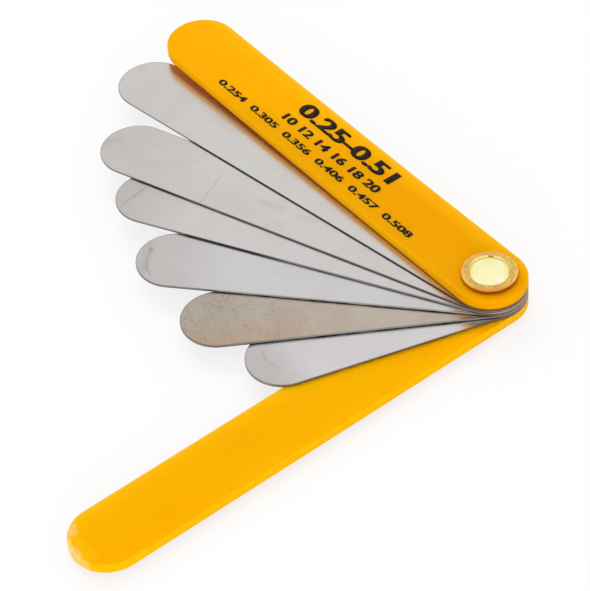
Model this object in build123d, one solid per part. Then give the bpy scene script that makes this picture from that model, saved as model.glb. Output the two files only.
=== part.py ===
from build123d import *
import os

# Cover strips, in millimetres
strip_width = 12.7
strip_reach = 78.4              # from the rivet's axis to the centre of the round tip
cover_thickness = 1.85
cover_edge_radius = 0.3         # rounded edge, on the side that the hand holds
cover_edge_bevel = 0.15         # eased edge, on the side of the leaves
top_cover_tip_lift = 1.15       # the top cover bows up, away from the leaves

# Steel leaves, from the thinnest and longest under the top cover downwards
thinnest_leaf = 0.254
leaf_thickness_step = 0.0508
leaf_reach_step = 8.4

# Brass rivet: a tube whose two ends are turned over into rims
rivet_bore_radius = 3.25
rivet_wall = 0.35
rivet_rim_reach = 1.41          # from the bore out to the edge of a rim
rivet_rim_height = 0.95
rivet_rim_edge = 0.5            # height of a rim at its outer edge, which stands clear of the cover
rivet_rim_bevel = 0.22          # outer edge of a rim
rivet_shoulder_width = 0.3      # ring round the tube where a rim bears on its cover
rivet_mouth_flare = 0.45        # the bore flares out by this much, from as far below the rim face

# Clearances
barrel_clearance = 0.05         # between the tube and the hole in each strip
stack_gap = 0.03                # between one strip and the next

# Degrees that each strip is turned from the bottom cover, as the gauge lies fanned out
top_cover_angle = -91.1
leaf_angles = [-82.5, -71.0, -63.0, -49.55, -33.6, -17.7]

# Worked out from the sizes above
end_radius = strip_width / 2
barrel_radius = rivet_bore_radius + rivet_wall
rim_radius = rivet_bore_radius + rivet_rim_reach
shoulder_radius = barrel_radius + rivet_shoulder_width
pivot_hole_radius = barrel_radius + barrel_clearance
leaf_thicknesses = [thinnest_leaf + leaf_thickness_step * step for step in range(len(leaf_angles))]
leaf_stack_height = sum(leaf_thicknesses) + stack_gap * len(leaf_angles)
rivet_height = 2 * rivet_rim_height + 2 * cover_thickness + leaf_stack_height + 2 * stack_gap


def strip_outline(reach):
    """A strip seen from above: round at both ends, pivot end at the origin, tip along +X."""
    return Pos(reach / 2, 0) * SlotCenterToCenter(reach, strip_width)


def with_pivot_hole(strip):
    """The strip with the hole that turns on the rivet."""
    return strip - Cylinder(pivot_hole_radius, 2 * strip_width)


def with_moulded_edges(strip):
    """The strip rounded over along the outline of its upper face, and eased along its lower face."""
    upper_outline = outline_edges(strip, 1)
    rounded = fillet(upper_outline, cover_edge_radius)
    return chamfer(outline_edges(rounded, -1), cover_edge_bevel)


def outline_edges(strip, side):
    """The edges where the side walls meet the upper face (side 1) or the lower face (side -1)."""
    walls = strip.faces().filter_by(lambda face: abs(face.normal_at().Z) < 0.5)
    broad_faces = strip.faces().filter_by(lambda face: side * face.normal_at().Z > 0.9)
    return broad_faces.edges() & walls.edges()


def gauge_leaf(reach, thickness):
    """A flat leaf stamped from spring steel, with its lower face at height zero."""
    return with_pivot_hole(extrude(strip_outline(reach), thickness))


def flat_cover():
    """A cover, flat all over, with its lower face at height zero."""
    return with_pivot_hole(with_moulded_edges(extrude(strip_outline(strip_reach), cover_thickness)))


def bowed_cover():
    """The top cover: a flat seat under the rivet, then one long shallow arc up to the tip."""
    mid_height = cover_thickness / 2
    tip_end = strip_reach + end_radius
    seat = Line((-tip_end, mid_height), (end_radius, mid_height))
    bow = TangentArc(seat @ 1, (tip_end, mid_height + top_cover_tip_lift), tangent=seat % 1)
    overrun = Line(bow @ 1, bow @ 1 + (bow % 1) * end_radius)
    side_profile = Plane.XZ * trace([seat, bow, overrun], cover_thickness)
    bowed_sheet = extrude(side_profile, strip_width, both=True)
    column = extrude(strip_outline(strip_reach), 2 * (cover_thickness + top_cover_tip_lift), both=True)
    return with_pivot_hole(with_moulded_edges(bowed_sheet & column))


def hollow_rivet():
    """The tube and its two turned-over rims: the upper half of the wall, spun round and mirrored."""
    top = rivet_height / 2
    mouth_edge = rivet_bore_radius + rivet_mouth_flare
    flare = Bezier((rivet_bore_radius, top - rivet_mouth_flare), (rivet_bore_radius, top), (mouth_edge, top))
    rest_of_wall = Polyline(
        (mouth_edge, top),
        (rim_radius - rivet_rim_bevel, top),
        (rim_radius, top - rivet_rim_bevel),
        (rim_radius, top - rivet_rim_edge),
        (shoulder_radius, top - rivet_rim_height),
        (barrel_radius, top - rivet_rim_height),
        (barrel_radius, 0),
        (rivet_bore_radius, 0),
        (rivet_bore_radius, top - rivet_mouth_flare),
    )
    upper_half = revolve(Plane.XZ * make_face([flare, rest_of_wall]), axis=Axis.Z)
    return upper_half + mirror(upper_half, about=Plane.XY)


def build_pieces():
    """Every piece in its place: the origin is on the rivet's axis, halfway up the rivet."""
    pieces = {"hollow_rivet": hollow_rivet()}
    height = rivet_rim_height - rivet_height / 2
    height += cover_thickness
    pieces["bottom_cover"] = Pos(0, 0, height) * Rot(180, 0, 0) * flat_cover()
    height += stack_gap
    for step in reversed(range(len(leaf_angles))):
        reach = strip_reach - leaf_reach_step * step
        leaf = gauge_leaf(reach, leaf_thicknesses[step])
        pieces[f"gauge_leaf_{step + 1}"] = Pos(0, 0, height) * Rot(0, 0, leaf_angles[step]) * leaf
        height += leaf_thicknesses[step] + stack_gap
    pieces["top_cover"] = Pos(0, 0, height) * Rot(0, 0, top_cover_angle) * bowed_cover()
    return pieces


os.makedirs("parts", exist_ok=True)
for name, piece in build_pieces().items():
    piece.label = name
    export_step(piece, f"parts/{name}.step")
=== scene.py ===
"""The looks of the nut height gauge.

Nine fine meshes take the places of the nine solids, and three lines of plain printed numbers lie on the
top cover. Lengths are millimetres until they are multiplied by MM."""
import math

import bmesh
import bpy
from mathutils import Matrix, Vector


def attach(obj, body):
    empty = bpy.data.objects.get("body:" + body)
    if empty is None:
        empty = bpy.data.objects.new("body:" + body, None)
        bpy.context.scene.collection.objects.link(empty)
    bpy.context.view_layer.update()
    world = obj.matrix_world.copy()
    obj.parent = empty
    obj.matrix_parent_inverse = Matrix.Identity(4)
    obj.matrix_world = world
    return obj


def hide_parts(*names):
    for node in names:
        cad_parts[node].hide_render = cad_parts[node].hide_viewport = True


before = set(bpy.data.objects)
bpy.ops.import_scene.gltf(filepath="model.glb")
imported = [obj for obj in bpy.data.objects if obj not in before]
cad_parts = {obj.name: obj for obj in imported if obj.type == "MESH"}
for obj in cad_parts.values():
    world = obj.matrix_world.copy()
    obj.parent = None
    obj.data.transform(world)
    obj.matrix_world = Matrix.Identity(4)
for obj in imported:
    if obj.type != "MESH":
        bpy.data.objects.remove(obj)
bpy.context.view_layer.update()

MM = 0.001

# The same sizes as the solids have
STRIP_WIDTH = 12.7
END_RADIUS = STRIP_WIDTH / 2
STRIP_REACH = 78.4              # from the rivet's axis to the centre of a cover's round tip
COVER_THICKNESS = 1.85
COVER_EDGE_RADIUS = 0.3         # rounded edge, on the side that the hand holds
COVER_EDGE_BEVEL = 0.15         # eased edge, on the side of the leaves
TIP_LIFT = 1.15                 # the top cover bows up, away from the leaves
LEAF_THICKNESSES = [0.254, 0.3048, 0.3556, 0.4064, 0.4572, 0.508]
LEAF_REACH_STEP = 8.4
LEAF_ANGLES = [-82.5, -71.0, -63.0, -49.55, -33.6, -17.7]
TOP_COVER_ANGLE = -91.1
BORE_RADIUS = 3.25
BARREL_RADIUS = BORE_RADIUS + 0.35
SHOULDER_RADIUS = BARREL_RADIUS + 0.3
HOLE_RADIUS = BARREL_RADIUS + 0.05
MOUTH_FLARE = 0.45              # the bore flares out by this much, from as far below the rim's face
RIM_RADIUS = 4.66
RIM_HEIGHT = 0.95
RIM_EDGE = 0.5                  # height of a rim at its outer edge, which stands clear of the cover
STACK_GAP = 0.03
STACK_HEIGHT = 2 * COVER_THICKNESS + sum(LEAF_THICKNESSES) + (len(LEAF_THICKNESSES) + 2) * STACK_GAP
RIVET_HEIGHT = 2 * RIM_HEIGHT + STACK_HEIGHT

# Fine shapes that the solids leave out
LEAF_BURR = 0.03                # small round along a leaf's edges
RIM_ROUND = 0.28                # round of a rim's outer edge, on the side of its face
RIM_UNDER_ROUND = 0.08          # the same on the side of the cover
RIM_GROOVE = 0.05               # depth of the shallow groove turned into a rim's face

# How finely the curves are divided
COVER_EDGE_STEPS = 6
LEAF_EDGE_STEPS = 2
FLARE_STEPS = 12
GROOVE_STEPS = 10
RIM_ROUND_STEPS = 8
RIM_UNDER_ROUND_STEPS = 3
TURNING_STEPS = 144


# Meshes

def bow_height(x):
    """How far the top cover stands above its flat seat, x millimetres out from the rivet."""
    if x <= END_RADIUS:
        return 0.0
    arc_radius = (STRIP_REACH ** 2 + TIP_LIFT ** 2) / (2 * TIP_LIFT)
    return arc_radius - math.sqrt(arc_radius ** 2 - (x - END_RADIUS) ** 2)


def flat(x):
    """The lift of a strip that doesn't bow."""
    return 0.0


def arc(centre, radius, first, last, steps):
    """Points of a circle from angle first to angle last, in degrees, both included."""
    points = []
    for step in range(steps + 1):
        angle = math.radians(first + (last - first) * step / steps)
        points.append((centre[0] + radius * math.cos(angle), centre[1] + radius * math.sin(angle)))
    return points


def bend(start, corner, end, steps):
    """Points of a curve that sets out from start towards corner and arrives at end from it."""
    points = []
    for step in range(steps + 1):
        t = step / steps
        points.append(tuple(
            (1 - t) ** 2 * a + 2 * t * (1 - t) * b + t * t * c for a, b, c in zip(start, corner, end)))
    return points


def edge_profile(thickness, upper_round, lower_round, steps):
    """Points (inset, height) from the lower face's outline, round the side wall, to the upper face's."""
    lower = arc((lower_round, lower_round), lower_round, 270, 180, steps)
    upper = arc((upper_round, thickness - upper_round), upper_round, 180, 90, steps)
    return lower + upper


class StripMesh:
    """A round-ended strip with a pivot hole, as one closed mesh of rows, rings and walls."""
    SEAT_END = 8.0              # where the rings round the hole give way to rows across the strip
    SEAT_STATIONS = 6
    ROW_PITCH = 2.2
    COLUMNS = 8
    RINGS = 4
    ARC_STEPS = 48
    CUT_EDGE_TILT = 0.5         # the cut edge is where the normal leans up or down by less than this

    def __init__(self, reach, profile, lift):
        self.reach = reach
        self.lift = lift
        self.points = []
        self.faces = []
        self.side_faces = set()
        rows = round((reach - self.SEAT_END) / self.ROW_PITCH)
        seat = [self.SEAT_END * k / self.SEAT_STATIONS for k in range(self.SEAT_STATIONS)]
        blade = [self.SEAT_END + (reach - self.SEAT_END) * k / rows for k in range(rows + 1)]
        self.stations = seat + blade
        lower_rim, lower_hole = self.broad_face(profile[0], upward=False)
        upper_rim, upper_hole = self.broad_face(profile[-1], upward=True)
        rims = [lower_rim]
        rims += [self.rim(inset, height) for inset, height in profile[1:-1]]
        rims += [upper_rim]
        for below, above in zip(rims, rims[1:]):
            self.wall(below, above)
        self.wall(upper_hole, lower_hole)
        self.hole_rings = (lower_hole, upper_hole)

    def point(self, x, y, height):
        """Adds a point and returns its number."""
        self.points.append((x, y, height + self.lift(x)))
        return len(self.points) - 1

    def outline(self, inset):
        """The outline, counter-clockwise from the lower side over the pivot, as two sides and two arcs."""
        radius = END_RADIUS - inset
        lower = [(x, -radius) for x in self.stations]
        tip = arc((self.reach, 0), radius, -90, 90, self.ARC_STEPS)[1:-1]
        upper = [(x, radius) for x in self.stations]
        heel = arc((0, 0), radius, 90, 270, self.ARC_STEPS)[1:-1]
        return lower, tip, upper, heel

    def rim(self, inset, height):
        """One closed line of points round the strip."""
        lower, tip, upper, heel = self.outline(inset)
        return [self.point(x, y, height) for x, y in lower + tip + upper[::-1] + heel]

    def wall(self, below, above):
        """A band of side faces between two closed lines of points."""
        count = len(below)
        for k in range(count):
            after = (k + 1) % count
            self.side_faces.add(len(self.faces))
            self.faces.append((below[k], below[after], above[after], above[k]))

    def broad_face(self, place, upward):
        """The upper or lower face. Returns the point numbers of its outline and of its hole."""
        inset, height = place
        first_face = len(self.faces)
        low, tip, up, heel = [[self.point(x, y, height) for x, y in part] for part in self.outline(inset)]
        apex = len(tip) // 2
        pairs = list(zip(low, up))[self.SEAT_STATIONS:] + list(zip(tip[:apex], tip[:apex:-1]))
        rows = [self.row(a, b, height) for a, b in pairs]
        for row, following in zip(rows, rows[1:]):
            for k in range(self.COLUMNS):
                self.faces.append((row[k], following[k], following[k + 1], row[k + 1]))
        for k in range(self.COLUMNS):
            self.faces.append((rows[-1][k], tip[apex], rows[-1][k + 1]))
        around_seat = rows[0] + up[:self.SEAT_STATIONS][::-1] + heel + low[:self.SEAT_STATIONS]
        hole = self.rings(around_seat, height)
        if not upward:
            self.faces[first_face:] = [face[::-1] for face in self.faces[first_face:]]
        return low + tip + up[::-1] + heel, hole

    def row(self, a, b, height):
        """Points straight across the strip, from point a to point b."""
        (ax, ay, _), (bx, by, _) = self.points[a], self.points[b]
        inner = []
        for k in range(1, self.COLUMNS):
            share = k / self.COLUMNS
            inner.append(self.point(ax + (bx - ax) * share, ay + (by - ay) * share, height))
        return [a] + inner + [b]

    def rings(self, around, height):
        """Rings of faces from the hole out to the closed line of points around it."""
        directions = [math.atan2(self.points[k][1], self.points[k][0]) for k in around]
        starts = [(HOLE_RADIUS * math.cos(a), HOLE_RADIUS * math.sin(a)) for a in directions]
        hole = [self.point(x, y, height) for x, y in starts]
        inner = hole
        for step in range(1, self.RINGS + 1):
            share = step / self.RINGS
            outer = around
            if step < self.RINGS:
                outer = []
                for (x, y), k in zip(starts, around):
                    far_x, far_y, _ = self.points[k]
                    outer.append(self.point(x + (far_x - x) * share, y + (far_y - y) * share, height))
            for k in range(len(around)):
                after = (k + 1) % len(around)
                self.faces.append((inner[k], outer[k], outer[after], inner[after]))
            inner = outer
        return hole

    def build(self, name, base, angle, cut_edge=False):
        """The mesh object, turned to its place in the fan, with its lower face at height base.

        With cut_edge, its side faces take the second material."""
        mesh = bpy.data.meshes.new(name)
        mesh.from_pydata(self.points, [], self.faces)
        mesh.transform(Matrix.Rotation(math.radians(angle), 4, "Z") @ Matrix.Translation((0, 0, base)))
        mesh.transform(Matrix.Scale(MM, 4))
        for polygon in mesh.polygons:
            polygon.use_smooth = True
            upright = abs(polygon.normal.z) < self.CUT_EDGE_TILT
            if cut_edge and upright and polygon.index in self.side_faces:
                polygon.material_index = 1
        sharpen(mesh, self.hole_rings)
        return evenly_shaded(linked(name, mesh))


def spun(name, profile, sharp_points):
    """The closed profile of (radius, height) points, spun round the rivet's axis."""
    points = []
    faces = []
    count = len(profile)
    for step in range(TURNING_STEPS):
        angle = 2 * math.pi * step / TURNING_STEPS
        points += [(r * math.cos(angle) * MM, r * math.sin(angle) * MM, z * MM) for r, z in profile]
        here, there = step * count, (step + 1) % TURNING_STEPS * count
        for k in range(count):
            after = (k + 1) % count
            faces.append((here + k, there + k, there + after, here + after))
    mesh = bpy.data.meshes.new(name)
    mesh.from_pydata(points, [], faces)
    for polygon in mesh.polygons:
        polygon.use_smooth = True
    sharpen(mesh, [[step * count + k for step in range(TURNING_STEPS)] for k in sharp_points])
    return evenly_shaded(linked(name, mesh))


def sharpen(mesh, rings):
    """Marks closed rings of points as sharp edges."""
    wanted = set()
    for ring in rings:
        for k, point in enumerate(ring):
            wanted.add(frozenset((point, ring[(k + 1) % len(ring)])))
    for edge in mesh.edges:
        edge.use_edge_sharp = frozenset(edge.vertices) in wanted


def linked(name, data):
    """A new object with this data, in the scene."""
    thing = bpy.data.objects.new(name, data)
    bpy.context.scene.collection.objects.link(thing)
    return thing


def evenly_shaded(piece):
    """The piece with normals that keep its flat faces flat beside their small rounds."""
    normals = piece.modifiers.new("even_shading", "WEIGHTED_NORMAL")
    normals.keep_sharp = True
    return piece


# Materials

class Recipe:
    """A material made of a Principled shader and the nodes that feed it, with lengths in millimetres.

    The place of a point is X along the strip from the rivet, Y across it and Z up, however far the strip
    is turned. offset shifts the noises, so that no two strips show the same ones."""

    def __init__(self, name, colour, turned=0.0, offset=(0, 0, 0)):
        self.material = bpy.data.materials.new(name)
        self.material.use_nodes = True
        self.tree = self.material.node_tree
        self.shader = self.tree.nodes["Principled BSDF"]
        coordinates = self.tree.nodes.new("ShaderNodeTexCoord")
        mapping = self.tree.nodes.new("ShaderNodeMapping")
        self.tree.links.new(coordinates.outputs["Object"], mapping.inputs["Vector"])
        mapping.inputs["Scale"].default_value = (1 / MM, 1 / MM, 1 / MM)
        mapping.inputs["Rotation"].default_value = (0, 0, math.radians(-turned))
        self.place = mapping.outputs["Vector"]
        self.offset = offset
        self.base = colour
        self.normal = None

    def join(self, value, socket):
        """Gives the socket a plain value, or links another node's output to it."""
        if hasattr(value, "links"):
            self.tree.links.new(value, socket)
        else:
            socket.default_value = value

    def set(self, **values):
        """Values or node outputs for the shader's sockets, named with _ for a space."""
        for name, value in values.items():
            self.join(value, self.shader.inputs[name.replace("_", " ")])

    def paint(self, share, colour):
        """Lays colour over the base colour so far, as strongly as share says, from 0 to 1."""
        self.base = self.blend(share, self.base, colour)
        self.set(Base_Color=self.base)

    def emboss(self, height, millimetres):
        """Raises the surface by millimetres where height is 1, on top of what is embossed already."""
        node = self.tree.nodes.new("ShaderNodeBump")
        node.inputs["Distance"].default_value = millimetres * MM
        self.join(height, node.inputs["Height"])
        if self.normal is not None:
            self.join(self.normal, node.inputs["Normal"])
        self.normal = node.outputs["Normal"]
        self.set(Normal=self.normal)

    def math(self, operation, a, b=0.0, clamp=False):
        node = self.tree.nodes.new("ShaderNodeMath")
        node.operation = operation
        node.use_clamp = clamp
        self.join(a, node.inputs[0])
        self.join(b, node.inputs[1])
        return node.outputs[0]

    def plus(self, a, b):
        return self.math("ADD", a, b)

    def minus(self, a, b):
        return self.math("SUBTRACT", a, b)

    def times(self, a, b):
        return self.math("MULTIPLY", a, b)

    def vector(self, operation, a, b=(0, 0, 0), scale=None):
        node = self.tree.nodes.new("ShaderNodeVectorMath")
        node.operation = operation
        self.join(a, node.inputs[0])
        if scale is None:
            self.join(b, node.inputs[1])
        else:
            self.join(scale, node.inputs["Scale"])
        is_number = operation in ("DOT_PRODUCT", "LENGTH", "DISTANCE")
        return node.outputs["Value" if is_number else "Vector"]

    def blend(self, share, first, second):
        """The colour that goes from first to second as share goes from 0 to 1."""
        node = self.tree.nodes.new("ShaderNodeMix")
        node.data_type = "RGBA"
        self.join(share, node.inputs[0])
        self.join(first, node.inputs[6])
        self.join(second, node.inputs[7])
        return node.outputs[2]

    def ramp(self, value, low, high, start=0.0, end=1.0):
        """start below low, end above high, and a smooth step between."""
        node = self.tree.nodes.new("ShaderNodeMapRange")
        node.interpolation_type = "SMOOTHSTEP"
        self.join(value, node.inputs["Value"])
        node.inputs["From Min"].default_value = low
        node.inputs["From Max"].default_value = high
        node.inputs["To Min"].default_value = start
        node.inputs["To Max"].default_value = end
        return node.outputs["Result"]

    def stretched(self, scale, turn=0.0):
        """The place, scaled per axis, for a pattern that is longer one way than the other."""
        node = self.tree.nodes.new("ShaderNodeMapping")
        self.tree.links.new(self.place, node.inputs["Vector"])
        node.inputs["Location"].default_value = self.offset
        node.inputs["Rotation"].default_value = (0, 0, math.radians(turn))
        node.inputs["Scale"].default_value = scale
        return node.outputs["Vector"]

    def noise(self, size, detail=3.0, roughness=0.5, where=None):
        """Soft noise from 0 to 1 whose blobs are about size millimetres across."""
        node = self.tree.nodes.new("ShaderNodeTexNoise")
        self.join(where or self.stretched((1, 1, 1)), node.inputs["Vector"])
        node.inputs["Scale"].default_value = 1 / size
        node.inputs["Detail"].default_value = detail
        node.inputs["Roughness"].default_value = roughness
        return node.outputs[0]

    def axis(self, letter, vector=None):
        """The X, Y or Z of the place, or of another vector."""
        node = self.tree.nodes.new("ShaderNodeSeparateXYZ")
        self.join(vector or self.place, node.inputs[0])
        return node.outputs["XYZ".index(letter)]

    def rise(self):
        """1 where the surface faces up, 0 on an upright wall and -1 where it faces down."""
        geometry = self.tree.nodes.new("ShaderNodeNewGeometry")
        return self.axis("Z", geometry.outputs["Normal"])

    def seen_from_above(self):
        return self.vector("MULTIPLY", self.place, (1, 1, 0))

    def from_axis(self):
        """How far the place lies from the rivet's axis."""
        return self.vector("LENGTH", self.seen_from_above())

    def beside(self, start, end):
        """How far the place lies, seen from above, from the straight line between two points."""
        start = Vector((*start, 0))
        run = Vector((*end, 0)) - start
        from_start = self.vector("SUBTRACT", self.seen_from_above(), tuple(start))
        along = self.vector("DOT_PRODUCT", from_start, tuple(run))
        share = self.math("DIVIDE", along, run.length_squared, clamp=True)
        nearest = self.vector("SCALE", tuple(run), scale=share)
        return self.vector("DISTANCE", from_start, nearest)

    def mark(self, start, end, half_width, soft=1.0):
        """1 on a straight mark between two points of the strip, fading to 0 at half_width beside it."""
        return self.ramp(self.beside(start, end), half_width * (1 - soft), half_width, 1.0, 0.0)


def rgb(red, green, blue):
    """A colour of the screen, 0 to 255, as Blender's linear colour."""
    def linear(value):
        value /= 255
        return value / 12.92 if value <= 0.04045 else ((value + 0.055) / 1.055) ** 2.4
    return (linear(red), linear(green), linear(blue), 1.0)


def tinted_grey(level, tint=(1.0, 1.0, 1.0)):
    """A grey of the screen, 0 to 255, with each of its three channels multiplied by the tint."""
    return rgb(*[level * share for share in tint])


# Colours on the covers
FAR_EDGE_HIGHLIGHT_YELLOW = rgb(255, 190, 4)
FAR_EDGE_HIGHLIGHT_STRAW = rgb(236, 186, 42)
CLOUD_OCHRE = rgb(214, 130, 0)
RIM_SHADE = rgb(168, 86, 0)
FOOT_SHADE = rgb(150, 66, 0)
FINE_SCRATCH = rgb(255, 225, 150)
HEEL_SHADE_ORANGE = rgb(255, 150, 0)
TIP_LIGHT_YELLOW = rgb(255, 192, 10)
PALE_HIGHLIGHT = rgb(255, 208, 148)

# Colours on the leaves' faces
TIP_GREY = rgb(150, 141, 134)
ROLLING_GREY = rgb(160, 156, 153)
GRIT_GREY = rgb(150, 143, 140)
BRIGHT_SCRATCH = rgb(235, 234, 233)
MOTTLE_BROWN = rgb(128, 98, 88)
MOTTLE_TAN = rgb(184, 152, 120)
DARK_MARK = rgb(96, 84, 82)
EDGE_BAND_SHADE = rgb(92, 87, 84)

# Colours on the leaves' cut edges
TORN_PATCH = rgb(110, 104, 100)
SMOOTH_HEEL_TINT = (1.0, 0.88, 0.77)
TORN_HEEL_TINT = (0.46, 0.37, 0.38)
SMOOTH_FREE_EDGE = rgb(140, 136, 134)
TORN_FREE_EDGE = rgb(92, 88, 86)
SHEAR_LINE = rgb(70, 65, 63)
SHADED_RUN = rgb(14, 12, 11)

# Two directions of the photograph, on the table
LEFTWARD = (0.807, -0.591, 0)
NEARWARD = (0.591, 0.807, 0)

# Colours on the rivet, with left, right, near and far as in the photograph
RIM_LEFT = rgb(242, 203, 104)
RIM_RIGHT = rgb(246, 209, 112)
RIM_NEAR_SHADE = rgb(232, 174, 52)
RIM_FAR = rgb(226, 174, 82)
TURNING_LINE = rgb(192, 140, 62)
BRASS_STAIN = rgb(178, 134, 72)
WIDE_BRASS_STAIN = rgb(194, 146, 84)
RIM_EDGE_HIGHLIGHT = rgb(255, 208, 134)
RIM_EDGE_NEAR_SHADE = rgb(226, 160, 84)
LIP_BRIGHT = rgb(255, 232, 146)
LIP_STAIN = rgb(226, 188, 96)
LIP_CREASE_SHADE = rgb(206, 172, 66)
BORE_DEEP = rgb(255, 248, 194)
BORE_UPPER_LIGHT = rgb(255, 252, 228)
BORE_CLOUD = rgb(255, 244, 176)
BORE_FLANK_LIGHT = rgb(255, 255, 240)
LIP_DARK_REFLECTION = rgb(96, 82, 40)

# Colours of the ink
INK_BLACK = rgb(26, 12, 4)
INK_BROWN = rgb(46, 24, 8)


def cover_plastic(name, turned, offset, underside, bow, heel, near_edge, tip, under, sides):
    """Moulded yellow-orange plastic: a little see-through, finely grained, faintly scratched.

    heel, near_edge and tip are colours of the upper face: round the rivet, along the +Y edge there, and
    out to the tip. under is the colour of the lower face. sides are those of the side wall: round the
    pivot end, low down, high up and at the tip. underside is the height of the lower face at the rivet,
    and bow is the tip's lift."""
    r = Recipe(name, heel, turned, offset)
    x, y = r.axis("X"), r.axis("Y")

    # The upper face, whose heel colour reaches further out along its +Y edge. Where the heel and near_edge
    # colours are darker than the tip colour, as on the top cover, they are painted shade
    held_back = r.times(r.math("MAXIMUM", y, 0.0), 4)
    r.paint(r.ramp(y, 3.4, 5.4), near_edge)
    r.paint(r.ramp(r.minus(x, held_back), 32, 56), tip)
    # Painted highlight: a lighter, paler band along the -Y edge of the upper face
    r.paint(r.ramp(y, -6.2, -2.4, 0.6, 0.0), FAR_EDGE_HIGHLIGHT_YELLOW)
    r.paint(r.ramp(y, -5.9, -4.9, 0.5, 0.0), FAR_EDGE_HIGHLIGHT_STRAW)
    r.paint(r.ramp(r.noise(14, detail=2), 0.35, 0.65, 0.06, 0.0), CLOUD_OCHRE)
    r.paint(r.ramp(r.from_axis(), RIM_RADIUS - 0.1, RIM_RADIUS + 0.3, 0.6, 0.0), RIM_SHADE)

    # The side wall, by the level above the lower face, which rises with the bow. The tones of the side
    # wall and of the lower face are painted light and shade
    past_seat = r.math("MAXIMUM", r.minus(x, END_RADIUS), 0.0)
    lift = r.times(r.times(past_seat, past_seat), bow / STRIP_REACH ** 2)
    level = r.minus(r.minus(r.axis("Z"), underside), lift)
    pivot_side, low_side, high_side, tip_side = sides
    side = r.blend(r.ramp(level, 0.2, COVER_THICKNESS - 0.6), low_side, high_side)
    side = r.blend(r.ramp(x, 1, 12), pivot_side, side)
    side = r.blend(r.ramp(x, 64, 80), side, tip_side)
    rise = r.rise()
    r.paint(r.ramp(r.math("ABSOLUTE", rise), 0.35, 0.85, 0.9, 0.0), side)
    r.paint(r.ramp(rise, -0.9, -0.5, 1.0, 0.0), under)
    if bow:
        foot = r.times(r.ramp(level, 0.12, 0.3, 0.85, 0.0), r.ramp(rise, -0.95, -0.85))
        r.paint(foot, FOOT_SHADE)

    # Scratches, grain and waviness
    scratches = r.ramp(r.noise(0.5, detail=2, where=r.stretched((0.06, 1.6, 1), 24)), 0.68, 0.78)
    r.paint(r.times(scratches, 0.06), FINE_SCRATCH)
    grain = r.noise(0.22, detail=4, roughness=0.6)
    blotched = r.ramp(r.noise(5, detail=3), 0.3, 0.7, 0.34, 0.42)
    grained = r.plus(r.times(grain, 0.1), blotched)
    r.emboss(grain, 0.006)
    r.emboss(r.noise(7, detail=1), 0.05)
    r.emboss(scratches, -0.002)
    r.set(Roughness=r.plus(grained, r.times(scratches, 0.12)),
          Specular_IOR_Level=0.03, Specular_Tint=(1.0, 0.5, 0.02, 1.0),
          Subsurface_Weight=0.75, Subsurface_Radius=(1.0, 0.35, 0.05), Subsurface_Scale=2.2 * MM)
    r.shader.subsurface_method = "RANDOM_WALK"
    return r


def shaded_heel(r):
    """The plastic a little redder round the rivet, less so towards the +Y edge: painted shade of the
    leaves that lie over it.
    """
    by_rivet = r.ramp(r.from_axis(), 10, 26, 0.6, 0.0)
    r.paint(r.times(by_rivet, r.ramp(r.axis("Y"), 0.5, 4.5, 1.0, 0.1)), HEEL_SHADE_ORANGE)


def lit_tip(r, highlight_patches):
    """The end of a cover, with painted light: a lighter band across it, and pale painted highlights along
    its edge.
    """
    # A lighter band across the tip: painted light
    band = r.times(r.ramp(r.axis("X"), 81.85, 82.35), r.ramp(r.axis("Y"), 1.0, 4.0, 1.0, 0.0))
    r.paint(r.times(band, 0.5), TIP_LIGHT_YELLOW)
    # Pale patches along the tip's edge: painted highlights
    ragged = r.ramp(r.noise(0.8, detail=3), 0.36, 0.56, 0.35, 1.0)
    for start, end, half_width, strength in highlight_patches:
        patch = r.times(r.mark(start, end, half_width, 0.7), ragged)
        r.paint(r.times(patch, strength), PALE_HIGHLIGHT)


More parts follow.
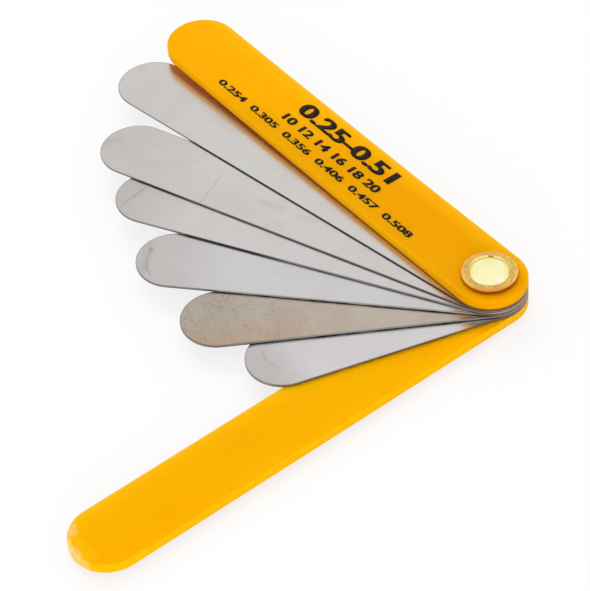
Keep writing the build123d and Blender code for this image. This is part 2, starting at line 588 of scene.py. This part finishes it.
def leaf_steel(name, turned, offset, reach, steel, stained, tip_share, tip_run, marks=(), mottled=False):
    """Rolled spring steel: a dull mirror with fine scratches both ways, soft stains and single marks.

    The last tip_run of the leaf darkens by up to tip_share."""
    r = Recipe(name, steel, turned, offset)
    x, y = r.axis("X"), r.axis("Y")
    stain = r.ramp(r.noise(9, detail=4, roughness=0.6), 0.38, 0.68)
    r.paint(r.times(stain, 0.55), stained)
    r.paint(r.ramp(x, reach - tip_run, reach + 4, 0.0, tip_share), TIP_GREY)
    rolled = r.noise(0.45, detail=4, roughness=0.7, where=r.stretched((0.03, 1, 1)))
    r.paint(r.ramp(rolled, 0.35, 0.7, 0.0, 0.05), ROLLING_GREY)
    grit = r.noise(0.16, detail=3, roughness=0.7)
    r.paint(r.ramp(grit, 0.42, 0.75, 0.0, 0.14), GRIT_GREY)
    one_way = r.ramp(r.noise(0.3, detail=1, where=r.stretched((1.4, 0.05, 1), 31)), 0.70, 0.76)
    other_way = r.ramp(r.noise(0.3, detail=1, where=r.stretched((1.4, 0.05, 1), -52)), 0.72, 0.78)
    scratches = r.math("MAXIMUM", one_way, other_way)
    r.paint(r.times(scratches, 0.12), BRIGHT_SCRATCH)
    roughness = r.plus(r.ramp(rolled, 0.3, 0.7, 0.21, 0.27), r.times(stain, 0.05))
    r.emboss(rolled, 0.0009)
    r.emboss(r.noise(8, detail=2), 0.012)
    r.emboss(scratches, -0.001)

    if mottled:
        outer = r.ramp(x, 18, 42)
        speckle = r.ramp(r.noise(0.6, detail=5, roughness=0.8), 0.44, 0.62)
        patches = r.ramp(r.noise(2.4, detail=2), 0.38, 0.62, 0.3, 1.2)
        mottle = r.times(r.times(speckle, outer), patches)
        r.paint(r.times(mottle, 0.27), MOTTLE_BROWN)
        tanned = r.times(r.ramp(y, -1, 6), outer)
        r.paint(r.times(tanned, 0.5), MOTTLE_TAN)
        roughness = r.plus(roughness, r.times(mottle, 0.14))
        r.emboss(mottle, -0.002)

    for start, end, half_width, strength in marks:
        r.paint(r.times(r.mark(start, end, half_width), strength), DARK_MARK)
    # A darker band along the edges of the upper face: painted shade, which joins the dark line at the cut
    # edge
    from_middle = r.beside((0, 0), (reach, 0))
    r.paint(r.ramp(from_middle, END_RADIUS - 0.24, END_RADIUS + 0.02, 0.0, 0.62), EDGE_BAND_SHADE)
    r.set(Roughness=roughness, Metallic=0.96)
    return r


def sheared_steel(name, turned, base_height, thickness, smooth, torn_and_shaded, torn_and_shaded_share, heel, free_from,
                  dark_run=None):
    """The cut edge of a leaf: a smooth band above, where the shear went in, and below it a band where it
    tore, which on most leaves is darkened by painted shade of the gap under the leaf.

    The three grey levels are for the smooth band, the lower band and the heel, and the share after them is
    how much of the thickness the lower band takes. Besides the steel's own tone, they carry painted light
    and shade; the heel's stands for the light and shade on the stack by the rivet. The edge is an even
    grey from free_from out to the tip, and nearly black over dark_run, which is painted shade of the gap
    under the leaf."""
    r = Recipe(name, tinted_grey(torn_and_shaded), turned)
    x = r.axis("X")
    lines = r.noise(0.25, detail=3, roughness=0.7, where=r.stretched((1, 1, 0.05)))
    patches = r.ramp(r.noise(6, detail=2), 0.35, 0.65)
    at_heel = r.ramp(x, -1, 5, 1.0, 0.0)
    is_free = r.ramp(x, free_from - 1.5, free_from + 0.5)
    r.paint(r.times(patches, 0.25), TORN_PATCH)
    # At the heel, painted light and shade of the stack
    r.paint(at_heel, tinted_grey(heel, TORN_HEEL_TINT))
    r.paint(is_free, TORN_FREE_EDGE)

    smooth_band = r.blend(at_heel, tinted_grey(smooth), tinted_grey(heel, SMOOTH_HEEL_TINT))
    smooth_band = r.blend(is_free, smooth_band, SMOOTH_FREE_EDGE)
    level = r.math("DIVIDE", r.minus(r.axis("Z"), base_height), thickness)
    level = r.plus(level, r.ramp(lines, 0.3, 0.7, -0.1, 0.1))
    level = r.plus(level, r.ramp(patches, 0, 1, -0.1, 0.1))
    r.paint(r.ramp(level, torn_and_shaded_share - 0.12, torn_and_shaded_share + 0.12), smooth_band)

    r.paint(r.ramp(lines, 0.35, 0.65, 0.0, 0.2), SHEAR_LINE)
    # Painted shade of the gap under the leaf
    if dark_run:
        start, end = dark_run
        dark = r.times(r.ramp(x, start - 4, start + 4), r.ramp(x, end - 1, end, 1.0, 0.0))
        r.paint(r.times(dark, 0.8), SHADED_RUN)
    r.emboss(lines, 0.004)
    r.set(Metallic=1.0, Roughness=r.ramp(lines, 0.3, 0.7, 0.34, 0.5))
    return r


def rivet_brass():
    """Brass: turned and a little stained on the rims, bright on the lips and of a high polish in the bore,
    with light and shade painted on the rims, the lips and the bore.
    """
    r = Recipe("rivet_brass", RIM_RIGHT)
    radius = r.from_axis()
    leftward = r.vector("DOT_PRODUCT", r.place, LEFTWARD)
    nearness = r.vector("DOT_PRODUCT", r.place, NEARWARD)
    circles = r.tree.nodes.new("ShaderNodeCombineXYZ")
    r.join(radius, circles.inputs[0])
    turned_lines = r.noise(0.11, detail=3, roughness=0.7, where=circles.outputs[0])
    stain = r.noise(0.42, detail=5, roughness=0.7)

    # The rims, whose tones change with their side: painted light and shade
    r.paint(r.ramp(leftward, -4.4, 4.4), RIM_LEFT)
    r.paint(r.ramp(nearness, 3.0, 4.5, 0.0, 0.6), RIM_NEAR_SHADE)
    r.paint(r.ramp(nearness, -4.5, -3.2, 0.5, 0.0), RIM_FAR)
    r.paint(r.ramp(turned_lines, 0.35, 0.65, 0.0, 0.5), TURNING_LINE)
    r.paint(r.ramp(stain, 0.46, 0.62, 0.0, 0.55), BRASS_STAIN)
    r.paint(r.ramp(r.noise(1.6, detail=2), 0.45, 0.65, 0.0, 0.3), WIDE_BRASS_STAIN)
    # The outer round: a painted highlight, and painted shade on the near side
    edge = r.ramp(radius, RIM_RADIUS - RIM_ROUND - 0.06, RIM_RADIUS - 0.12, 0.0, 0.75)
    r.paint(edge, r.blend(r.ramp(nearness, 2.0, 4.4), RIM_EDGE_HIGHLIGHT, RIM_EDGE_NEAR_SHADE))

    # The lip of the bore, brighter than the rim, with a painted highlight over its whole flare on the far
    # side
    lip_width = r.ramp(nearness, -3.2, -1.6, MOUTH_FLARE, 0.2)
    on_lip = r.ramp(r.minus(radius, lip_width), BORE_RADIUS - 0.12, BORE_RADIUS + 0.06, 1.0, 0.0)
    r.paint(on_lip, r.blend(r.ramp(stain, 0.4, 0.7, 0.0, 0.35), LIP_BRIGHT, LIP_STAIN))
    # A darker ring where the lip turns down into the bore: painted shade
    r.paint(r.ramp(radius, BORE_RADIUS + 0.05, BORE_RADIUS + 0.11, 0.6, 0.0), LIP_CREASE_SHADE)

    # The bore, paler high up and on its left and right flanks: painted light. Beside it, a dark mark that
    # is a painted reflection
    in_bore = r.ramp(radius, BORE_RADIUS + 0.01, BORE_RADIUS + 0.04, 1.0, 0.0)
    polished_and_lit = r.blend(r.ramp(r.axis("Z"), 0.8, 3.2), BORE_DEEP, BORE_UPPER_LIGHT)
    polished_and_lit = r.blend(r.ramp(r.noise(1.5), 0.35, 0.65, 0.0, 0.12), polished_and_lit, BORE_CLOUD)
    polished_and_lit = r.blend(r.ramp(r.math("ABSOLUTE", leftward), 0.9, 2.6, 0.0, 0.45), polished_and_lit, BORE_FLANK_LIGHT)
    r.paint(in_bore, polished_and_lit)
    # A dark mark on the far side of the lip: a painted reflection
    off_bore = r.ramp(radius, BORE_RADIUS + 0.02, BORE_RADIUS + 0.12, 0.0, 0.85)
    r.paint(r.times(r.mark((-2.68, -2.20), (-2.26, -2.62), 0.28), off_bore), LIP_DARK_REFLECTION)

    # Rougher where it is stained, smoother on the lip and in the bore
    fleck = r.times(r.ramp(stain, 0.3, 0.7), r.ramp(in_bore, 0, 1, 0.12, 0.02))
    r.emboss(turned_lines, 0.008)
    r.emboss(r.times(stain, r.ramp(in_bore, 0, 1, 1.0, 0.1)), 0.008)
    r.set(Metallic=1.0, Roughness=r.plus(r.ramp(on_lip, 0, 1, 0.3, 0.16), fleck))
    return r


def print_ink():
    """Dull dark brown-black pad-printed ink."""
    r = Recipe("print_ink", INK_BLACK)
    thin = r.noise(0.3, detail=4, roughness=0.7)
    r.paint(r.ramp(thin, 0.35, 0.75), INK_BROWN)
    r.emboss(thin, 0.003)
    r.set(Roughness=r.ramp(thin, 0.3, 0.7, 0.42, 0.6), Specular_IOR_Level=0.1)
    return r


# Pieces

# The tip's painted highlights and the leaves' marks are two points of the strip (along it, across it), the
# half width and the strength
TIP_HIGHLIGHTS = [
    ((82.3, -4.0), (81.8, -5.3), 1.2, 0.6), ((83.5, -4.0), (84.8, -1.2), 0.75, 0.75),
    ((84.4, -1.0), (84.5, 0.4), 1.0, 0.65), ((84.7, 0.8), (84.3, 2.4), 0.5, 0.35),
]

# What differs from leaf to leaf, in leaf_steel and sheared_steel
LEAF_FACES = {
    1: dict(steel=rgb(208, 206, 204), stained=rgb(202, 198, 193), tip_share=0.08, tip_run=16),
    2: dict(steel=rgb(208, 204, 202), stained=rgb(201, 194, 191), tip_share=0.17, tip_run=16),
    3: dict(steel=rgb(208, 205, 204), stained=rgb(202, 196, 194), tip_share=0.30, tip_run=12),
    4: dict(steel=rgb(206, 204, 204), stained=rgb(200, 197, 197), tip_share=0.26, tip_run=12),
    5: dict(steel=rgb(188, 179, 166), stained=rgb(180, 165, 149), tip_share=0.28, tip_run=16,
            mottled=True),
    6: dict(steel=rgb(212, 209, 210), stained=rgb(207, 202, 201), tip_share=0.36, tip_run=5),
}

LEAF_MARKS = {
    1: [((65.1, 2.9), (62.4, -1.2), 0.16, 0.08), ((71.5, -2.0), (70.5, 5.0), 3.6, 0.05)],
    2: [((52.87, 6.2), (53.28, -0.7), 0.13, 0.36), ((43.6, 1.0), (39.8, 0.9), 1.4, 0.09),
        ((75.6, 1.2), (74.2, -0.8), 1.6, 0.07), ((50.4, 5.8), (50.9, 2.8), 0.2, 0.08),
        ((36.2, 1.0), (33.0, 0.6), 1.2, 0.09)],
    3: [((65.6, 3.4), (64.6, 0.9), 0.42, 0.17), ((64.6, 0.9), (63.7, -2.0), 0.55, 0.17),
        ((64.7, 1.4), (64.3, -0.4), 0.2, 0.1), ((62.6, -3.8), (60.9, -4.9), 0.2, 0.10)],
    4: [((57.37, -2.3), (57.62, 0.8), 0.42, 0.16), ((57.62, 0.8), (57.2, 2.5), 0.45, 0.2),
        ((57.2, 2.5), (56.3, 4.3), 0.42, 0.2), ((57.5, -2.3), (57.72, -1.5), 0.13, 0.8),
        ((57.1, -2.4), (57.3, -1.2), 0.10, 0.4), ((54.0, 4.8), (51.0, 2.6), 0.14, 0.10),
        ((52.6, 5.0), (49.6, 2.4), 0.12, 0.12), ((51.2, 5.2), (48.6, 3.0), 0.12, 0.09),
        ((57.9, -3.2), (57.9, 3.4), 1.5, 0.12)],
    5: [],
    6: [((39.2, -2.9), (39.25, -0.6), 0.3, 0.15), ((39.25, -0.6), (38.9, 0.9), 0.3, 0.12),
        ((38.9, 0.9), (37.6, 2.3), 0.3, 0.15), ((36.6, 4.4), (35.4, 4.9), 0.3, 0.10)],
}

LEAF_EDGES = {
    1: dict(smooth=70, torn_and_shaded=6, torn_and_shaded_share=0.6, heel=122, free_from=63, dark_run=(42, 62.5)),
    2: dict(smooth=146, torn_and_shaded=94, torn_and_shaded_share=0.4, heel=160, free_from=66.5, dark_run=(57, 66)),
    3: dict(smooth=180, torn_and_shaded=102, torn_and_shaded_share=0.3, heel=194, free_from=53.5, dark_run=(36, 53)),
    4: dict(smooth=222, torn_and_shaded=2, torn_and_shaded_share=0.38, heel=140, free_from=45.5),
    5: dict(smooth=186, torn_and_shaded=4, torn_and_shaded_share=0.38, heel=176, free_from=41),
    6: dict(smooth=142, torn_and_shaded=204, torn_and_shaded_share=0.3, heel=141, free_from=60),
}

PRINTED_LINES = [
    dict(name="print_leaf_range", words="0.25-0.51",
         first_x=53.2, last_x=27.9, foot_y=-1.35, digit_height=3.2, boldness=0.03),
    dict(name="print_leaf_sizes", words="10 12 14 16 18 20",
         first_x=53.4, last_x=27.6, foot_y=1.75, digit_height=1.8, boldness=0.03),
    dict(name="print_leaf_list", words="0.254  0.305  0.356  0.406  0.457  0.508",
         first_x=68.1, last_x=15.5, foot_y=4.5, digit_height=1.4, boldness=0.025),
]
FIGURE_CURVE_STEPS = 6
STROKE_GROWTH = 0.02            # how much bolder the font's strokes are drawn, as a share of its size
COPY_RISE = 0.001               # keeps the copies of a bold figure from lying in one plane
PRINT_RISE = 0.012              # the ink's upper side, above the cover
INK_THICKNESS = 0.014           # a little more, so that the ink reaches into the cover


def dressed(piece, body, node, slot, *recipes):
    """The piece gets its materials, rides on its body and stands for its solid."""
    for recipe in recipes:
        piece.data.materials.append(recipe.material)
    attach(piece, body)
    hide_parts(node)


def build_leaves(base):
    """The leaves, from the thickest one upwards. Returns the height at which the top cover lies."""
    for number in range(len(LEAF_THICKNESSES), 0, -1):
        thickness = LEAF_THICKNESSES[number - 1]
        angle = LEAF_ANGLES[number - 1]
        reach = STRIP_REACH - LEAF_REACH_STEP * (number - 1)
        strip = StripMesh(reach, edge_profile(thickness, LEAF_BURR, LEAF_BURR, LEAF_EDGE_STEPS), flat)
        piece = strip.build(f"gauge_leaf_{number}_blade", base, angle, cut_edge=True)
        offset = (17 * number, 5 * number, number)
        face = leaf_steel(f"leaf_{number}_steel", angle, offset, reach,
                          marks=LEAF_MARKS[number], **LEAF_FACES[number])
        edge = sheared_steel(f"leaf_{number}_edge", angle, base, thickness, **LEAF_EDGES[number])
        dressed(piece, f"gauge_leaf_{number}", f"gauge_leaf_{number}", "leaf_steel", face, edge)
        base += thickness + STACK_GAP
    return base


def build_bottom_cover(base):
    """The top cover's moulding, but flat and turned over, so that its rounded edge is its lower one."""
    profile = edge_profile(COVER_THICKNESS, COVER_EDGE_BEVEL, COVER_EDGE_RADIUS, COVER_EDGE_STEPS)
    piece = StripMesh(STRIP_REACH, profile, flat).build("bottom_cover_moulding", base, 0)
    plastic = cover_plastic(
        "bottom_cover_plastic", turned=0, offset=(40, 7, 3), underside=base, bow=0,
        heel=rgb(255, 177, 0), near_edge=rgb(255, 180, 0), tip=rgb(255, 177, 0), under=rgb(240, 150, 6),
        sides=[rgb(255, 182, 20), rgb(255, 180, 2), rgb(255, 182, 4), rgb(255, 185, 5)])
    shaded_heel(plastic)
    lit_tip(plastic, TIP_HIGHLIGHTS)
    dressed(piece, "base", "bottom_cover", "cover_plastic", plastic)


def build_top_cover(base):
    """The bowed cover, with its rounded edge on top."""
    profile = edge_profile(COVER_THICKNESS, COVER_EDGE_RADIUS, COVER_EDGE_BEVEL, COVER_EDGE_STEPS)
    piece = StripMesh(STRIP_REACH, profile, bow_height).build("top_cover_moulding", base, TOP_COVER_ANGLE)
    # The darker heel and near_edge colours are painted shade
    plastic = cover_plastic(
        "top_cover_plastic", turned=TOP_COVER_ANGLE, offset=(3, 31, 11), underside=base, bow=TIP_LIFT,
        heel=rgb(240, 163, 1), near_edge=rgb(236, 165, 4), tip=rgb(253, 174, 1), under=rgb(255, 148, 10),
        sides=[rgb(241, 162, 0), rgb(252, 158, 0), rgb(255, 178, 4), rgb(255, 177, 6)])
    dressed(piece, "top_cover", "top_cover", "cover_plastic", plastic)


def build_rivet():
    """The tube with its flared mouths, grooved rims and shoulders, drawn in section and spun."""
    top = RIVET_HEIGHT / 2
    mouth_edge = BORE_RADIUS + MOUTH_FLARE
    upper = bend((BORE_RADIUS, top - MOUTH_FLARE), (BORE_RADIUS, top), (mouth_edge, top), FLARE_STEPS)
    face_width = RIM_RADIUS - RIM_ROUND - mouth_edge
    for step in range(1, GROOVE_STEPS):
        share = step / GROOVE_STEPS
        upper.append((mouth_edge + face_width * share, top - RIM_GROOVE * math.sin(math.pi * share) ** 2))
    upper += arc((RIM_RADIUS - RIM_ROUND, top - RIM_ROUND), RIM_ROUND, 90, 0, RIM_ROUND_STEPS)
    under_centre = (RIM_RADIUS - RIM_UNDER_ROUND, top - RIM_EDGE + RIM_UNDER_ROUND)
    upper += arc(under_centre, RIM_UNDER_ROUND, 0, -90, RIM_UNDER_ROUND_STEPS)
    upper += [(SHOULDER_RADIUS, top - RIM_HEIGHT), (BARREL_RADIUS, top - RIM_HEIGHT)]
    lower = [(radius, -height) for radius, height in reversed(upper)]
    bore = [(BORE_RADIUS, (top - MOUTH_FLARE) * share) for share in (-0.6, -0.2, 0.2, 0.6)]
    profile = upper + lower + bore
    corners = [k for k, (radius, _) in enumerate(profile) if radius in (SHOULDER_RADIUS, BARREL_RADIUS)]
    piece = spun("hollow_rivet_tube", profile, corners)
    dressed(piece, "base", "hollow_rivet", "rivet_brass", rivet_brass())


def build_print(cover_top):
    """Plain numbers on the top cover, where the real gauge has lettering: what its leaves measure."""
    ink = print_ink()
    for line in PRINTED_LINES:
        print_line(ink, cover_top, **line)


def print_line(ink, cover_top, name, words, first_x, last_x, foot_y, digit_height, boldness):
    """A line of figures, read from the cover's tip to the rivet, that follows the bow."""
    mesh = figures(name, words)
    embolden(mesh, boldness)
    lay_on_cover(mesh, cover_top, first_x, last_x, foot_y, digit_height)
    piece = linked(name, mesh)
    film = piece.modifiers.new("ink_film", "SOLIDIFY")
    film.thickness = INK_THICKNESS * MM
    film.offset = -1
    mesh.materials.clear()
    mesh.materials.append(ink.material)
    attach(piece, "top_cover")


def figures(name, words):
    """The flat shapes of the figures, as a mesh."""
    curve = bpy.data.curves.new(name + "_text", "FONT")
    curve.body = words
    curve.offset = STROKE_GROWTH
    curve.resolution_u = FIGURE_CURVE_STEPS
    writing = linked(name + "_text", curve)
    bpy.context.view_layer.update()
    mesh = bpy.data.meshes.new_from_object(writing.evaluated_get(bpy.context.evaluated_depsgraph_get()))
    bpy.data.objects.remove(writing)
    return mesh


def embolden(mesh, boldness):
    """Lays copies of the figures a little to their left and right, so that they read as bold."""
    once = bmesh.new()
    once.from_mesh(mesh)
    bold = bmesh.new()
    for layer, shift in enumerate((-boldness, 0.0, boldness)):
        copy = once.copy()
        bmesh.ops.translate(copy, verts=copy.verts, vec=(shift, 0, COPY_RISE * layer))
        part = bpy.data.meshes.new("figures")
        copy.to_mesh(part)
        bold.from_mesh(part)
        copy.free()
    bold.to_mesh(mesh)
    once.free()
    bold.free()


def lay_on_cover(mesh, cover_top, first_x, last_x, foot_y, digit_height):
    """Stretches the figures over their place on the cover."""
    left = min(v.co.x for v in mesh.vertices)
    right = max(v.co.x for v in mesh.vertices)
    foot = min(v.co.y for v in mesh.vertices)
    head = max(v.co.y for v in mesh.vertices)
    for v in mesh.vertices:
        x = first_x + (last_x - first_x) * (v.co.x - left) / (right - left)
        y = foot_y - digit_height * (v.co.y - foot) / (head - foot)
        v.co = (x, y, cover_top + bow_height(x) + PRINT_RISE + v.co.z)
    mesh.transform(Matrix.Rotation(math.radians(TOP_COVER_ANGLE), 4, "Z"))
    mesh.transform(Matrix.Scale(MM, 4))


bottom_base = -RIVET_HEIGHT / 2 + RIM_HEIGHT
top_base = build_leaves(bottom_base + COVER_THICKNESS + STACK_GAP)
build_bottom_cover(bottom_base)
build_top_cover(top_base)
build_print(top_base + COVER_THICKNESS)
build_rivet()


# Stage, with its sizes in metres

AIM = Vector((24.7817, -20.2596, 0)) * MM

# The camera of the photograph
CAMERA_AZIMUTH = 53.7777
CAMERA_ELEVATION = 44.1292
CAMERA_DISTANCE = 488.926 * MM
CAMERA_ROLL = -4.2168
LENS = 180.97                   # millimetres, as is the sensor
SENSOR_WIDTH = 36
CLIP_START = 0.01

LIGHTS = [
    dict(name="softbox", azimuth=250, elevation=50, energy=1.5),
    dict(name="fill", azimuth=54, elevation=16, energy=2.0),
]
LIGHT_SIZE = (0.6, 0.4)
LIGHT_DISTANCE = 0.75

FLOOR_REACH = 3.0
FLOOR_WHITE = (0.93, 0.93, 0.93, 1)
FLOOR_GLOW = 0.75               # how much of the floor that the camera sees is its own glow
SKY_LIGHT = 0.8


def ray_share(tree, lighting, camera, mirrored):
    """One number for rays that light things, one for those from the camera, one for reflected ones."""
    path = tree.nodes.new("ShaderNodeLightPath")
    shares = {"Is Transmission Ray": mirrored, "Is Glossy Ray": mirrored, "Is Camera Ray": camera}
    value = lighting
    for output, share in shares.items():
        switch = tree.nodes.new("ShaderNodeMapRange")
        tree.links.new(path.outputs[output], switch.inputs["Value"])
        switch.inputs["To Max"].default_value = share
        if value is lighting:
            switch.inputs["To Min"].default_value = lighting
        else:
            tree.links.new(value, switch.inputs["To Min"])
        value = switch.outputs["Result"]
    return value


def build_floor():
    """A white floor that touches the lower rim. It takes shadows, and shows white itself and mirrored."""
    corners = [(-1, -1), (1, -1), (1, 1), (-1, 1)]
    height = -RIVET_HEIGHT / 2 * MM
    mesh = bpy.data.meshes.new("floor")
    mesh.from_pydata([(FLOOR_REACH * x, FLOOR_REACH * y, height) for x, y in corners], [], [(0, 1, 2, 3)])
    floor = linked("floor", mesh)
    material = bpy.data.materials.new("floor_white")
    material.use_nodes = True
    tree = material.node_tree
    tree.nodes.clear()
    diffuse = tree.nodes.new("ShaderNodeBsdfDiffuse")
    diffuse.inputs["Color"].default_value = FLOOR_WHITE
    glow = tree.nodes.new("ShaderNodeEmission")
    both = tree.nodes.new("ShaderNodeMixShader")
    out = tree.nodes.new("ShaderNodeOutputMaterial")
    tree.links.new(ray_share(tree, 0.0, FLOOR_GLOW, 1.0), both.inputs[0])
    tree.links.new(diffuse.outputs[0], both.inputs[1])
    tree.links.new(glow.outputs[0], both.inputs[2])
    tree.links.new(both.outputs[0], out.inputs["Surface"])
    mesh.materials.append(material)


def build_world():
    """A white surrounding that lights things a little less than it shows."""
    world = bpy.data.worlds.new("studio")
    bpy.context.scene.world = world
    world.use_nodes = True
    background = world.node_tree.nodes["Background"]
    background.inputs["Color"].default_value = (1, 1, 1, 1)
    strength = ray_share(world.node_tree, SKY_LIGHT, 1.0, 1.0)
    world.node_tree.links.new(strength, background.inputs["Strength"])


def pointed(name, data, azimuth, elevation, distance, roll=0.0):
    """An object on a sphere round AIM that looks at it. Angles are in degrees."""
    around, up = math.radians(azimuth), math.radians(elevation)
    outward = Vector((math.cos(up) * math.cos(around), math.cos(up) * math.sin(around), math.sin(up)))
    facing_aim = outward.to_track_quat("Z", "Y").to_matrix().to_4x4()
    rolled = facing_aim @ Matrix.Rotation(math.radians(roll), 4, "Z")
    thing = linked(name, data)
    thing.matrix_world = Matrix.Translation(AIM + outward * distance) @ rolled
    return thing


def build_light(name, azimuth, elevation, energy):
    """A rectangular softbox that doesn't show in reflections."""
    panel = bpy.data.lights.new(name, "AREA")
    panel.shape = "RECTANGLE"
    panel.size, panel.size_y = LIGHT_SIZE
    panel.energy = energy
    lamp = pointed(name, panel, azimuth, elevation, LIGHT_DISTANCE)
    lamp.visible_glossy = False


def build_camera():
    lens = bpy.data.cameras.new("camera")
    lens.sensor_width = SENSOR_WIDTH
    lens.lens = LENS
    lens.clip_start = CLIP_START
    camera = pointed("camera", lens, CAMERA_AZIMUTH, CAMERA_ELEVATION, CAMERA_DISTANCE, CAMERA_ROLL)
    bpy.context.scene.camera = camera


build_floor()
build_world()
for light in LIGHTS:
    build_light(**light)
build_camera()
bpy.context.scene.view_settings.view_transform = "Standard"
